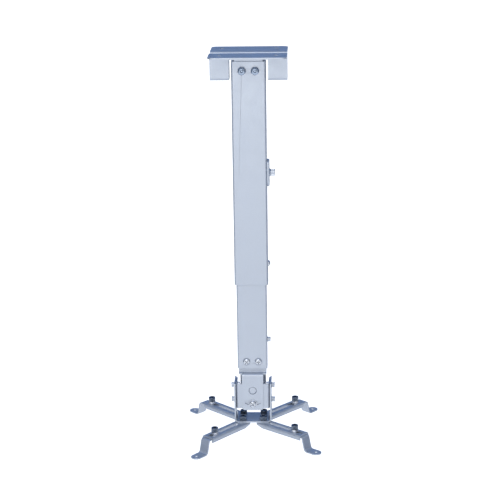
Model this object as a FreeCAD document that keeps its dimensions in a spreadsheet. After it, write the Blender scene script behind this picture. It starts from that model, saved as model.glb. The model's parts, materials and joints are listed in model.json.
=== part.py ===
import FreeCAD, Part
import Sketcher
import math
import os
import re

# Ceiling mount for a projector, in millimetres.
# The origin is the centre of the four ceiling holes, on the ceiling face, and everything hangs
# below it, so heights are given as drops. +Z is up, the front is -Y and +X is the right.

doc = FreeCAD.newDocument("ProjectorCeilingMount")

# Driving sizes

SIZES = (
    ("CeilingWidth", 112, "ceiling bracket, left to right"),
    ("CeilingDepth", 114, "ceiling bracket, front to back over both flanges"),
    ("CeilingSheet", 2, "sheet thickness of the ceiling bracket"),
    ("CeilingBend", 2.5, "inside radius of its four long bends"),
    ("TroughDrop", 40, "height of the troughs"),
    ("TroughWidth", 28, "length of each trough at the bracket's ends"),
    ("CutoutTop", 10, "depth of web left between the troughs"),
    ("TabWidth", 41, "the two tabs that reach into the column"),
    ("TabDrop", 32, "lower end of the tabs"),
    ("TabClearance", 0.1, "between tab and column wall"),
    ("FlangeCorner", 7, "rounded flange corners"),
    ("CeilingHole", 7, "diameter of the ceiling holes"),
    ("CeilingHoleAcross", 80, "ceiling hole spacing, left to right"),
    ("CeilingHoleAlong", 70, "ceiling hole spacing, front to back"),
    ("OuterWidth", 50, "outer column, left to right"),
    ("OuterDepth", 25, "outer column, front to back"),
    ("OuterWall", 2, "outer column wall"),
    ("OuterCorner", 3, "outer column outside corner radius"),
    ("OuterTopDrop", 12, "top end of the outer column"),
    ("OuterLength", 334, "length of the outer column"),
    ("TopBoltDrop", 25.5, "bolts through the column's top"),
    ("TopBoltSpacing", 19, "their spacing"),
    ("ColumnGap", 0.5, "between the two columns, on each side"),
    ("InnerWall", 1.5, "inner column wall"),
    ("InnerCorner", 2.5, "inner column outside corner radius"),
    ("InnerLength", 353.8, "length of the inner column"),
    ("InnerBottomDrop", 478.8, "lower end of the inner column as shown"),
    ("LockBelowTop", 165, "height lock on the right side, below the outer column's top"),
    ("LockPlateHeight", 41, "height lock plate, top to bottom"),
    ("LockPlateWidth", 18, "height lock plate, front to back"),
    ("LockPlateThickness", 3.6, "height lock plate"),
    ("LockPlateEdge", 1.6, "rounding of its rim"),
    ("HubRadius", 7, "foot of the plate's hub"),
    ("HubHeight", 1.4, "height of the hub"),
    ("GuideScrewRise", 30.5, "guide screw above the outer column's lower end"),
    ("StopScrewRise", 43.8, "stop screw above the inner column's lower end"),
    ("ScrewTipGap", 0.1, "between a side screw's tip and the inner column"),
    ("NeckSheet", 2, "sheet thickness of the neck bracket"),
    ("NeckBend", 1.5, "inside radius of its bends"),
    ("StepBend", 2, "inside radius of the bend at the top of the front plate"),
    ("NeckEdge", 1.2, "outside radius of its upright edges"),
    ("NeckClearance", 0.1, "between neck bracket and inner column"),
    ("InsertDepth", 29, "how far the neck bracket reaches into the inner column"),
    ("ShelfDrop", 5.7, "shelf below the inner column's end"),
    ("RearLugWidth", 39, "rear wall's lug, which hangs into the roll bracket"),
    ("RearLugDrop", 35, "its lower end below the inner column's end"),
    ("RearLugCorner", 8, "its rounded lower corners"),
    ("FrontFace", 18.8, "front plate's face, in front of the column's middle"),
    ("FrontPlateWidth", 32, "front plate"),
    ("FrontPlateLength", 58, "front plate, from the shelf down"),
    ("FrontPlateCorner", 4, "rounded lower corners of the front plate"),
    ("NeckScrewRise", 11.2, "neck screws above the inner column's end"),
    ("NeckScrewSpacing", 17.8, "their spacing"),
    ("RollPivotFall", 32.4, "pivot on which the head rolls, below the inner column's end"),
    ("RollPivotRadius", 6, "pivot hole in the front plate"),
    ("RollSlotRadius", 21, "arc slot below the pivot"),
    ("RollSlotWidth", 6.2, "width of the arc slot"),
    ("RollSlotHalfAngle", 26, "each way from its middle"),
    ("RunningFit", 0.05, "radial clearance on a pivot, and between plates that slide"),
    ("RollSheet", 2, "sheet thickness of the roll bracket"),
    ("RollBend", 2, "inside radius of its bends"),
    ("RollRise", 10.2, "roll bracket above its pivot"),
    ("RollFall", 29.2, "roll bracket below its pivot"),
    ("RollBack", 13, "roll bracket behind the column's middle"),
    ("TiltPivotRise", 2.7, "tilt pivot above the roll pivot"),
    ("TiltWidth", 56, "tilt bracket, left to right"),
    ("TiltDepth", 38, "tilt bracket, front to back"),
    ("TiltSheet", 2, "sheet thickness of the tilt bracket"),
    ("TiltBend", 4, "inside radius of its bends"),
    ("TiltRise", 8.5, "tilt bracket above its pivot"),
    ("TiltFall", 54.5, "tilt bracket's underside below its pivot"),
    ("TiltCorner", 4, "rounded upper corners of its walls"),
    ("SideGap", 0.1, "between the walls of the two brackets"),
    ("TiltSlotRadius", 23.1, "arc slots below the tilt pivot"),
    ("TiltSlotWidth", 5.4, "width of the arc slots"),
    ("TiltSlotHalfAngle", 15, "each way from their middle"),
    ("ArmPivotAcross", 31, "arm bolt spacing, left to right"),
    ("ArmPivotAlong", 24, "arm bolt spacing, front to back"),
    ("ArmWidth", 21, "arm channel over its flanges"),
    ("ArmHeight", 7.5, "arm channel, top to flange edge"),
    ("ArmSheet", 2, "sheet thickness of the arms"),
    ("ArmBend", 0.5, "inside radius of the arms' bends"),
    ("ArmLength", 80, "arm from its pivot to its outer end"),
    ("ArmTail", 5, "the arm's flanges behind its pivot"),
    ("ArmRunOut", 12, "length over which the flanges' inner ends slope up"),
    ("ArmEndHeight", 4, "what is left of the arm's height there"),
    ("ArmSlotWidth", 6.6, "long slot in the arm"),
    ("ArmSlotStart", 16, "inner end of the slot's middle line"),
    ("ArmSlotEnd", 73.5, "outer end of the slot's middle line"),
    ("StripSheet", 2, "sheet thickness of the foot strips"),
    ("StripBend", 2.5, "inside radius of the foot strips' upper bends"),
    ("FootBend", 4.5, "inside radius of their lower bends"),
    ("StripTail", 12, "foot strip behind its lock bolt"),
    ("LegRun", 21, "from the lock bolt to the leg's upper bend"),
    ("LegDrop", 20.9, "height of the leg"),
    ("LegAngle", 76.5, "slope of the leg in degrees"),
    ("FootHoleRun", 41, "from the lock bolt to the foot hole"),
    ("FootHole", 5, "diameter of the foot hole"),
    ("AngleFrontLeft", 231, "direction of each arm in degrees, from +X"),
    ("AngleFrontRight", 321, ""),
    ("AngleRearLeft", 136.5, ""),
    ("AngleRearRight", 48, ""),
    ("RunFrontLeft", 64, "from each arm's pivot to its foot's lock bolt"),
    ("RunFrontRight", 62, ""),
    ("RunRearLeft", 72, ""),
    ("RunRearRight", 71, ""),
    ("LargeShank", 3, "radius of the larger bolts"),
    ("LargeHead", 5.2, "radius of their cap heads"),
    ("LargeHeadHeight", 6.8, ""),
    ("LargeSocket", 2.9, "corner radius of their hexagon sockets"),
    ("LargeDome", 6, "radius of the domed heads at the column's top"),
    ("LargeDomeHeight", 3.8, ""),
    ("LargeWasher", 6.3, "washer radius"),
    ("LargeWasherThickness", 1.5, ""),
    ("SpringWasher", 1.7, "thickness of the spring washers"),
    ("LargeNut", 5.77, "corner radius of the larger nuts"),
    ("LargeNutHeight", 5, ""),
    ("SmallShank", 2.5, "radius of the smaller screws"),
    ("SmallHead", 4.1, "radius of their cap heads"),
    ("SmallHeadHeight", 5, ""),
    ("SmallSocket", 2.3, "corner radius of their hexagon sockets"),
    ("PanHead", 5.5, "radius of the pan heads"),
    ("PanHeadHeight", 3.2, ""),
    ("PanSlotLength", 5.6, "cross recess"),
    ("PanSlotWidth", 1.1, ""),
    ("StopHead", 3.8, "radius of the stop screw's head"),
    ("GuideHead", 4.5, "radius of the guide screw's head"),
    ("GuideHeadHeight", 3.4, ""),
    ("SmallWasher", 6.2, "washer under the roll lock screw"),
    ("SmallWasherThickness", 1, ""),
    ("SmallNut", 4.62, "corner radius of the smaller nuts"),
    ("SmallNutHeight", 4, ""),
    ("ThreadClearance", 0.05, "between a screw and its threaded hole"),
    ("BoltClearance", 0.2, "between a clamped bolt and its hole"),
    ("ShankEnd", 1, "shank that shows beyond a nut"),
    ("SocketDepth", 2.5, "depth of the sockets and recesses"),
)

sizes = doc.addObject("Spreadsheet::Sheet", "Sizes")
for line, (alias, value, meaning) in enumerate(SIZES, 1):
    sizes.set("A%d" % line, alias)
    sizes.set("B%d" % line, str(value))
    sizes.set("C%d" % line, meaning)
    sizes.setAlias("B%d" % line, alias)
doc.recompute()

# How a piece's own upward direction is turned, as an axis and an angle

UP = "vector(0; 0; 1); 0"
DOWN = "vector(1; 0; 0); 180"
FRONT = "vector(1; 0; 0); 90"
BACK = "vector(1; 0; 0); 270"
RIGHT = "vector(0; 1; 0); 90"
LEFT = "vector(0; 1; 0); 270"
FRONT_HANGING = "vector(1; 1; -1); 120"


def link(target, prop, expression):
    """Bind a property to an expression in the sheet's names."""
    target.setExpression(prop, re.sub(r"\b([A-Z][A-Za-z]+)\b", r"Sizes.\1", expression))


def place(target, at, turn=UP):
    link(target, "Placement", "placement(vector(%s; %s; %s); rotation(%s))" % (*at, turn))
    return target


# Solids from primitives

def cylinder(name, radius, height, at=("0", "0", "0"), turn=UP):
    solid = doc.addObject("Part::Cylinder", name)
    link(solid, "Radius", radius)
    link(solid, "Height", height)
    return place(solid, at, turn)


def cone(name, low_radius, high_radius, height, at):
    solid = doc.addObject("Part::Cone", name)
    link(solid, "Radius1", low_radius)
    link(solid, "Radius2", high_radius)
    link(solid, "Height", height)
    return place(solid, at)


def hexagon(name, corner_radius, height, at):
    solid = doc.addObject("Part::Prism", name)
    solid.Polygon = 6
    link(solid, "Circumradius", corner_radius)
    link(solid, "Height", height)
    return place(solid, at)


def block(name, across, along, upward):
    """A box between two values on each axis."""
    solid = doc.addObject("Part::Box", name)
    for prop, (low, high) in zip(("Length", "Width", "Height"), (across, along, upward)):
        link(solid, prop, "(%s) - (%s)" % (high, low))
    return place(solid, (across[0], along[0], upward[0]))


def fuse(name, solids):
    joined = doc.addObject("Part::MultiFuse", name)
    joined.Shapes = solids
    return joined


def cut(name, base, tools):
    """The base without its tools."""
    result = doc.addObject("Part::Cut", name)
    result.Base = base
    result.Tool = tools[0] if len(tools) == 1 else fuse(name + "_tools", tools)
    return result


def common(name, base, former):
    result = doc.addObject("Part::Common", name)
    result.Base = base
    result.Tool = former
    return result


def group(name, solids):
    """Like pieces in one node, each a solid of its own."""
    result = doc.addObject("Part::Compound", name)
    result.Links = solids
    return result


# Folded and drawn pieces

def sketch(body, name, role):
    drawing = body.newObject("Sketcher::SketchObject", name)
    plane = next(part for part in body.Origin.OriginFeatures if part.Role == role)
    drawing.AttachmentSupport = [(plane, "")]
    drawing.MapMode = "FlatFace"
    return drawing


def outline(drawing, corners):
    """A closed outline of straight sides, each corner held by two sizes from the origin."""
    first = drawing.GeometryCount
    count = len(corners)
    start = []
    for number in range(count):
        turn = 2 * math.pi * number / count
        start.append(FreeCAD.Vector(100 * math.cos(turn), 100 * math.sin(turn), 0))
    for number in range(count):
        drawing.addGeometry(Part.LineSegment(start[number], start[(number + 1) % count]), False)
    for number in range(count):
        following = first + (number + 1) % count
        drawing.addConstraint(Sketcher.Constraint("Coincident", first + number, 2, following, 1))
    for number, (across, upward) in enumerate(corners):
        line = first + number
        for kind, distance, value in (
            ("DistanceX", across, start[number].x),
            ("DistanceY", upward, start[number].y),
        ):
            held = drawing.addConstraint(Sketcher.Constraint(kind, -1, 1, line, 1, value))
            link(drawing, "Constraints[%d]" % held, distance)
    return drawing


def rectangle(drawing, across, upward):
    (left, right), (low, high) = across, upward
    return outline(drawing, ((left, low), (right, low), (right, high), (left, high)))


def pad(body, drawing, name, length, side="Symmetric", backwards=False):
    feature = body.newObject("PartDesign::Pad", name)
    feature.Profile = drawing
    feature.SideType = side
    feature.Reversed = backwards
    link(feature, "Length", length)
    return feature


def pocket(body, drawing, name, length, side="Symmetric", backwards=False):
    feature = body.newObject("PartDesign::Pocket", name)
    feature.Profile = drawing
    feature.SideType = side
    feature.Reversed = backwards
    link(feature, "Length", length)
    return feature


def edges_at(feature, drawing, corners):
    """The feature's edges that run square to the drawing through its numbered corners."""
    normal = drawing.Placement.Rotation.multVec(FreeCAD.Vector(0, 0, 1))
    points = [drawing.Placement.multVec(drawing.Geometry[n].StartPoint) for n in corners]
    found = []
    for number, edge in enumerate(feature.Shape.Edges, 1):
        if edge.Curve.TypeId != "Part::GeomLine":
            continue
        origin = edge.Vertexes[0].Point
        direction = edge.tangentAt(edge.FirstParameter)
        if direction.cross(normal).Length > 1e-6:
            continue
        if any((point - origin).cross(direction).Length < 1e-4 for point in points):
            found.append("Edge%d" % number)
    return found


def round_edges(body, name, radius, drawing, corners):
    """Round the edges that a drawing's corners left along the last feature."""
    doc.recompute()
    base = body.Tip
    feature = body.newObject("PartDesign::Fillet", name)
    feature.Base = (base, edges_at(base, drawing, corners))
    link(feature, "Radius", radius)
    doc.recompute()
    return feature


# Fasteners, each with its head above its own origin and its shank below

def cap_screw(name, kind, length):
    """A cylinder head with a hexagon socket. kind is Large or Small."""
    head = cylinder(name + "_head", kind + "Head", kind + "HeadHeight")
    shank = cylinder(name + "_shank", kind + "Shank", length, ("0", "0", "-(%s)" % length))
    bottom = "%sHeadHeight - SocketDepth" % kind
    socket = hexagon(name + "_socket", kind + "Socket", "SocketDepth + 1", ("0", "0", bottom))
    return cut(name, fuse(name + "_solid", [head, shank]), [socket])


def pan_screw(name, radius, height, length):
    """A pan head with a cross recess."""
    rim = cylinder(name + "_rim", radius, "(%s) / 2" % height)
    crown_at = ("0", "0", "(%s) / 2" % height)
    crown = cone(name + "_crown", radius, "(%s) * 0.68" % radius, "(%s) / 2" % height, crown_at)
    shank = cylinder(name + "_shank", "SmallShank", length, ("0", "0", "-(%s)" % length))
    long_way = ("-PanSlotLength / 2", "PanSlotLength / 2")
    short_way = ("-PanSlotWidth / 2", "PanSlotWidth / 2")
    deep = ("(%s) / 2" % height, "%s + 1" % height)
    recess = [
        block(name + "_recess_a", long_way, short_way, deep),
        block(name + "_recess_b", short_way, long_way, deep),
    ]
    return cut(name, fuse(name + "_solid", [rim, crown, shank]), recess)


def domed_screw(name, length):
    """A low domed head with a hexagon socket, on a large shank."""
    rim = cylinder(name + "_rim", "LargeDome", "LargeDomeHeight * 0.3")
    crown_at = ("0", "0", "LargeDomeHeight * 0.3")
    crown = cone(name + "_crown", "LargeDome", "LargeDome * 0.6", "LargeDomeHeight * 0.7", crown_at)
    shank = cylinder(name + "_shank", "LargeShank", length, ("0", "0", "-(%s)" % length))
    bottom = "LargeDomeHeight - SocketDepth"
    socket = hexagon(name + "_socket", "SmallSocket", "SocketDepth + 1", ("0", "0", bottom))
    return cut(name, fuse(name + "_solid", [rim, crown, shank]), [socket])


def washer(name, radius, thickness, shank):
    ring = cylinder(name + "_disc", radius, thickness)
    hole = cylinder(name + "_hole", "%s + BoltClearance" % shank, thickness)
    return cut(name, ring, [hole])


def nut(name, kind):
    body = hexagon(name + "_hexagon", kind + "Nut", kind + "NutHeight", ("0", "0", "0"))
    hole = cylinder(name + "_hole", kind + "Shank + ThreadClearance", kind + "NutHeight")
    return cut(name, body, [hole])


# Ceiling bracket: one sheet folded to a hat channel that runs left to right. Its two flanges
# lie on the ceiling. Between the end troughs the webs become two tabs inside the column.

WEB = "(OuterDepth / 2 - OuterWall - TabClearance)"
WEB_INSIDE = "(%s - CeilingSheet)" % WEB


def ceiling_bracket():
    body = doc.addObject("PartDesign::Body", "ceiling_bracket_fold")
    hat = outline(sketch(body, "hat_section", "YZ_Plane"), (
        ("-CeilingDepth / 2", "0"),
        ("-" + WEB_INSIDE, "0"),
        ("-" + WEB_INSIDE, "CeilingSheet - TroughDrop"),
        (WEB_INSIDE, "CeilingSheet - TroughDrop"),
        (WEB_INSIDE, "0"),
        ("CeilingDepth / 2", "0"),
        ("CeilingDepth / 2", "-CeilingSheet"),
        (WEB, "-CeilingSheet"),
        (WEB, "-TroughDrop"),
        ("-" + WEB, "-TroughDrop"),
        ("-" + WEB, "-CeilingSheet"),
        ("-CeilingDepth / 2", "-CeilingSheet"),
    ))
    pad(body, hat, "hat", "CeilingWidth")
    round_edges(body, "outside_bends", "CeilingBend + CeilingSheet", hat, (1, 4, 8, 9))
    round_edges(body, "inside_bends", "CeilingBend", hat, (2, 3, 7, 10))

    gap = "(CeilingWidth / 2 - TroughWidth)"
    below = "-TroughDrop - 1"
    window = outline(sketch(body, "window_outline", "XZ_Plane"), (
        ("-" + gap, "-CutoutTop"),
        ("-TabWidth / 2", "-CutoutTop"),
        ("-TabWidth / 2", "-TabDrop"),
        ("TabWidth / 2", "-TabDrop"),
        ("TabWidth / 2", "-CutoutTop"),
        (gap, "-CutoutTop"),
        (gap, below),
        ("-" + gap, below),
    ))
    pocket(body, window, "window", "OuterDepth * 2")

    plan = rectangle(
        sketch(body, "flange_plan", "XY_Plane"),
        ("-CeilingWidth / 2", "CeilingWidth / 2"),
        ("-CeilingDepth / 2", "CeilingDepth / 2"),
    )
    round_edges(body, "flange_corners", "FlangeCorner", plan, (0, 1, 2, 3))

    tools = []
    for across in ("-", ""):
        for along in ("-", ""):
            at = (across + "CeilingHoleAcross / 2", along + "CeilingHoleAlong / 2", "-CeilingSheet - 1")
            hole = cylinder("ceiling_hole", "CeilingHole / 2", "CeilingSheet + 2", at)
            tools.append(hole)
        at = (across + "TopBoltSpacing / 2", "OuterDepth / 2", "-TopBoltDrop")
        tools.append(cylinder("tab_hole", "LargeShank + BoltClearance", "OuterDepth", at, FRONT))
    return cut("ceiling_bracket", body, tools)


# Columns: drawn rectangular tubes, one inside the other

INNER_WIDTH = "(OuterWidth - 2 * OuterWall - 2 * ColumnGap)"
INNER_DEPTH = "(OuterDepth - 2 * OuterWall - 2 * ColumnGap)"
LOCK_DROP = "(OuterTopDrop + LockBelowTop)"
GUIDE_DROP = "(OuterTopDrop + OuterLength - GuideScrewRise)"
STOP_DROP = "(InnerBottomDrop - StopScrewRise)"

def tube(name, width, depth, wall, corner, length, top):
    body = doc.addObject("PartDesign::Body", name + "_tube")
    section = sketch(body, name + "_section", "XY_Plane")
    half_width, half_depth = "(%s / 2)" % width, "(%s / 2)" % depth
    inside = ("(%s - %s)" % (half_width, wall), "(%s - %s)" % (half_depth, wall))
    rectangle(section, ("-" + half_width, half_width), ("-" + half_depth, half_depth))
    rectangle(section, ("-" + inside[0], inside[0]), ("-" + inside[1], inside[1]))
    pad(body, section, name + "_length", length, "One side", True)
    round_edges(body, name + "_outside_corners", corner, section, (0, 1, 2, 3))
    round_edges(body, name + "_inside_corners", "%s - %s" % (corner, wall), section, (4, 5, 6, 7))
    return place(body, ("0", "0", top))


def side_hole(name, radius, drop, width):
    """Through the right wall of a column only."""
    return cylinder(name, radius, width, ("0", "0", "-" + drop), RIGHT)


def outer_column():
    body = tube("outer_column", "OuterWidth", "OuterDepth", "OuterWall", "OuterCorner",
                "OuterLength", "-OuterTopDrop")
    tools = []
    for across in ("-", ""):
        at = (across + "TopBoltSpacing / 2", "OuterDepth", "-TopBoltDrop")
        tools.append(cylinder("top_hole", "LargeShank + BoltClearance", "OuterDepth * 2", at, FRONT))
    tools.append(side_hole("lock_hole", "LargeShank + BoltClearance", LOCK_DROP, "OuterWidth"))
    tools.append(side_hole("guide_hole", "SmallShank + ThreadClearance", GUIDE_DROP, "OuterWidth"))
    return cut("outer_column", body, tools)


def inner_column():
    body = tube("inner_column", INNER_WIDTH, INNER_DEPTH, "InnerWall", "InnerCorner",
                "InnerLength", "InnerLength - InnerBottomDrop")
    tools = [side_hole("stop_hole", "SmallShank + ThreadClearance", STOP_DROP, INNER_WIDTH)]
    for across in ("-", ""):
        at = (across + "NeckScrewSpacing / 2", "0", "NeckScrewRise - InnerBottomDrop")
        tools.append(cylinder("neck_hole", "SmallShank + BoltClearance", INNER_DEPTH, at, FRONT))
    return cut("inner_column", body, tools)


# Fasteners of the upper end: two bolts right through tabs and column

def top_fasteners():
    bolts, washers, nuts = [], [], []
    seat = "(OuterDepth / 2 + LargeWasherThickness)"
    length = "(2 * %s + LargeNutHeight + ShankEnd)" % seat
    for side, across in (("left", "-"), ("right", "")):
        x, z = across + "TopBoltSpacing / 2", "-TopBoltDrop"
        bolts.append(place(domed_screw("top_bolt_" + side, length), (x, "-" + seat, z), FRONT))
        for face, turn, y in (("front", FRONT, "-OuterDepth / 2"), ("rear", BACK, "OuterDepth / 2")):
            name = "top_washer_%s_%s" % (face, side)
            ring = washer(name, "LargeWasher", "LargeWasherThickness", "LargeShank")
            washers.append(place(ring, (x, y, z), turn))
        nuts.append(place(nut("top_nut_" + side, "Large"), (x, seat, z), BACK))
    return group("top_bolts", bolts), group("top_bolt_washers", washers), group("top_bolt_nuts", nuts)


# Height lock: an oblong plate with a hub on the column's right side, and its bolt, whose tip
# bears on the inner column

def height_lock_plate():
    body = doc.addObject("PartDesign::Body", "height_lock_plate_form")
    half = "(LockPlateWidth / 2)"
    straight = "(LockPlateHeight / 2 - %s)" % half
    profile = sketch(body, "height_lock_outline", "YZ_Plane")
    radius, rise = sizes.LockPlateWidth / 2, sizes.LockPlateHeight / 2 - sizes.LockPlateWidth / 2
    normal = FreeCAD.Vector(0, 0, 1)
    upper = Part.Circle(FreeCAD.Vector(0, rise, 0), normal, radius)
    lower = Part.Circle(FreeCAD.Vector(0, -rise, 0), normal, radius)
    profile.addGeometry(Part.ArcOfCircle(upper, 0, math.pi), False)
    down_side = Part.LineSegment(FreeCAD.Vector(-radius, rise, 0), FreeCAD.Vector(-radius, -rise, 0))
    profile.addGeometry(down_side, False)
    profile.addGeometry(Part.ArcOfCircle(lower, math.pi, 2 * math.pi), False)
    up_side = Part.LineSegment(FreeCAD.Vector(radius, -rise, 0), FreeCAD.Vector(radius, rise, 0))
    profile.addGeometry(up_side, False)
    for first, end, second, start in ((0, 2, 1, 1), (1, 2, 2, 1), (2, 2, 3, 1), (3, 2, 0, 1)):
        profile.addConstraint(Sketcher.Constraint("Tangent", first, end, second, start))
    for arc, direction in ((0, ""), (2, "-")):
        profile.addConstraint(Sketcher.Constraint("PointOnObject", arc, 3, -2))
        value = rise if arc == 0 else -rise
        held = profile.addConstraint(Sketcher.Constraint("DistanceY", -1, 1, arc, 3, value))
        link(profile, "Constraints[%d]" % held, direction + straight)
    held = profile.addConstraint(Sketcher.Constraint("Radius", 0, radius))
    link(profile, "Constraints[%d]" % held, half)
    pad(body, profile, "height_lock_slab", "LockPlateThickness", "One side")
    doc.recompute()
    slab = body.Tip
    rim = []
    for number, edge in enumerate(slab.Shape.Edges, 1):
        if all(abs(vertex.Point.x - sizes.LockPlateThickness) < 1e-6 for vertex in edge.Vertexes):
            rim.append("Edge%d" % number)
    rounding = body.newObject("PartDesign::Fillet", "height_lock_rim")
    rounding.Base = (slab, rim)
    link(rounding, "Radius", "LockPlateEdge")
    place(body, ("OuterWidth / 2", "0", "-" + LOCK_DROP))
    hub = cone("height_lock_hub", "HubRadius", "LargeHead", "HubHeight + 1", ("0", "0", "0"))
    place(hub, ("OuterWidth / 2 + LockPlateThickness - 1", "0", "-" + LOCK_DROP), RIGHT)
    bore = cylinder("height_lock_bore", "LargeShank + ThreadClearance", "OuterWidth",
                    ("OuterWidth / 4", "0", "-" + LOCK_DROP), RIGHT)
    return cut("height_lock_plate", fuse("height_lock_form", [body, hub]), [bore])


def side_screws():
    lock_seat = "(OuterWidth / 2 + LockPlateThickness + HubHeight)"
    lock_length = "(%s - %s / 2 - ScrewTipGap)" % (lock_seat, INNER_WIDTH)
    lock = cap_screw("height_lock_bolt", "Large", lock_length)
    place(lock, (lock_seat, "0", "-" + LOCK_DROP), RIGHT)
    guide_length = "(OuterWidth / 2 - %s / 2 - ScrewTipGap)" % INNER_WIDTH
    guide = pan_screw("column_guide_screw", "GuideHead", "GuideHeadHeight", guide_length)
    place(guide, ("OuterWidth / 2", "0", "-" + GUIDE_DROP), RIGHT)
    stop_length = "(InnerWall + 2)"
    head = cylinder("stop_screw_head", "StopHead", "SmallHeadHeight")
    shank = cylinder("stop_screw_shank", "SmallShank", stop_length, ("0", "0", "-" + stop_length))
    recess_at = ("0", "0", "SmallHeadHeight - SocketDepth")
    recess = hexagon("stop_screw_socket", "SmallSocket", "SocketDepth + 1", recess_at)
    stop = cut("stop_screw", fuse("stop_screw_solid", [head, shank]), [recess])
    place(stop, (INNER_WIDTH + " / 2", "0", "-" + STOP_DROP), RIGHT)
    return lock, guide, stop


# Neck bracket: one folded sheet. Its upper part is a box inside the inner column. In front its
# tongue steps forward over a shelf and hangs down as the front plate, and at the rear a lug with
# rounded corners hangs down into the roll bracket.

NECK_HALF = "(%s / 2 - InnerWall - NeckClearance)" % INNER_WIDTH
NECK_FRONT = "(%s / 2 - InnerWall - NeckClearance)" % INNER_DEPTH
SHELF = "(-InnerBottomDrop - ShelfDrop)"
ROLL_PIVOT = "(-InnerBottomDrop - RollPivotFall)"


def arc_slot(name, radius, width, half_angle, depth, at, turn):
    """A slot along an arc about its origin, its middle on its own +X before it is turned."""
    inner, outer = "(%s - %s / 2)" % (radius, width), "(%s + %s / 2)" % (radius, width)
    sector = doc.addObject("Part::Cylinder", name + "_sector")
    link(sector, "Radius", outer)
    link(sector, "Height", depth)
    link(sector, "Angle", "2 * %s" % half_angle)
    place(sector, ("0", "0", "0"), "vector(0; 0; 1); -%s" % half_angle)
    core = cylinder(name + "_core", inner, depth)
    ends = []
    for side in ("-", ""):
        end_at = ("%s * cos(%s)" % (radius, half_angle), "%s%s * sin(%s)" % (side, radius, half_angle), "0")
        ends.append(cylinder(name + "_end", width + " / 2", depth, end_at))
    shape = fuse(name, [cut(name + "_ring", sector, [core])] + ends)
    return place(shape, at, turn)


def neck_bracket():
    body = doc.addObject("PartDesign::Body", "neck_bracket_fold")
    top = "(InsertDepth - InnerBottomDrop)"
    tip = "(%s - FrontPlateLength)" % SHELF
    back = "(NeckSheet - %s)" % NECK_FRONT
    step = outline(sketch(body, "neck_step_section", "YZ_Plane"), (
        ("-" + NECK_FRONT, top),
        ("-" + NECK_FRONT, SHELF),
        ("-FrontFace", SHELF),
        ("-FrontFace", tip),
        ("NeckSheet - FrontFace", tip),
        ("NeckSheet - FrontFace", "%s - NeckSheet" % SHELF),
        (back, "%s - NeckSheet" % SHELF),
        (back, top),
    ))
    pad(body, step, "neck_step", "2 * " + NECK_HALF)
    round_edges(body, "neck_shelf_outside_bend", "NeckBend + NeckSheet", step, (6,))
    round_edges(body, "neck_shelf_inside_bend", "NeckBend", step, (1,))
    round_edges(body, "front_plate_outside_bend", "StepBend + NeckSheet", step, (2,))
    round_edges(body, "front_plate_inside_bend", "StepBend", step, (5,))

    through, upward = ("-" + NECK_FRONT, NECK_FRONT), ("-InnerBottomDrop", top)
    sides = rectangle(sketch(body, "neck_side_outline", "YZ_Plane"), through, upward)
    pad(body, sides, "neck_sides", "2 * " + NECK_HALF)
    hollow = "(%s - NeckSheet)" % NECK_HALF
    rear = "(%s - NeckSheet)" % NECK_FRONT
    inside = rectangle(
        sketch(body, "neck_hollow_plan", "XY_Plane"), ("-" + hollow, hollow), (back, rear))
    pocket(body, inside, "neck_hollow", "2 * InnerBottomDrop + 2 * OuterDepth")

    upright = rectangle(sketch(body, "neck_plan", "XY_Plane"), ("-" + NECK_HALF, NECK_HALF), through)
    round_edges(body, "neck_upright_edges", "NeckEdge", upright, (0, 1, 2, 3))

    lug_end = "(-InnerBottomDrop - RearLugDrop)"
    lug = rectangle(sketch(body, "rear_lug_section", "YZ_Plane"), (rear, NECK_FRONT), (lug_end, top))
    pad(body, lug, "rear_lug", "RearLugWidth")
    lug_sides = ("-RearLugWidth / 2", "RearLugWidth / 2")
    lug_face = rectangle(sketch(body, "rear_lug_outline", "XZ_Plane"), lug_sides, (lug_end, top))
    round_edges(body, "rear_lug_corners", "RearLugCorner", lug_face, (0, 1))

    plan = sketch(body, "front_plate_sides", "XY_Plane")
    half = "(FrontPlateWidth / 2)"
    behind = "(StepBend + NeckSheet - FrontFace)"
    for low, high in (("-OuterWidth / 2", "-" + half), (half, "OuterWidth / 2")):
        rectangle(plan, (low, high), ("-FrontFace - 1", behind))
    pocket(body, plan, "front_plate_width", "2 * InnerBottomDrop + 4 * FrontPlateLength")
    face = rectangle(
        sketch(body, "front_plate_outline", "XZ_Plane"), ("-" + half, half), (tip, SHELF))
    round_edges(body, "front_plate_corners", "FrontPlateCorner", face, (0, 1))

    tools = [
        cylinder("roll_pivot_hole", "RollPivotRadius", "2 * NeckSheet",
                 ("0", "NeckSheet - FrontFace + 1", ROLL_PIVOT), FRONT),
        arc_slot("roll_slot", "RollSlotRadius", "RollSlotWidth", "RollSlotHalfAngle", "2 * NeckSheet",
                 ("0", "NeckSheet - FrontFace + 1", ROLL_PIVOT), FRONT_HANGING),
    ]
    for across in ("-", ""):
        at = (across + "NeckScrewSpacing / 2", "0", "NeckScrewRise - InnerBottomDrop")
        tools.append(cylinder("neck_thread", "SmallShank + ThreadClearance", INNER_DEPTH + " / 2", at, FRONT))
    return cut("neck_bracket", body, tools)


def neck_fasteners():
    screws, nuts = [], []
    length = "(InnerWall + NeckClearance + NeckSheet + SmallNutHeight + ShankEnd)"
    z = "NeckScrewRise - InnerBottomDrop"
    for side, across in (("left", "-"), ("right", "")):
        x = across + "NeckScrewSpacing / 2"
        screw = pan_screw("neck_screw_" + side, "PanHead", "PanHeadHeight", length)
        screws.append(place(screw, (x, "-%s / 2" % INNER_DEPTH, z), FRONT))
        back = "NeckSheet - %s" % NECK_FRONT
        nuts.append(place(nut("neck_nut_" + side, "Small"), (x, back, z), BACK))
    return group("neck_screws", screws), group("neck_nuts", nuts)


# Roll bracket: a folded U behind the front plate, open to the back

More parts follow.
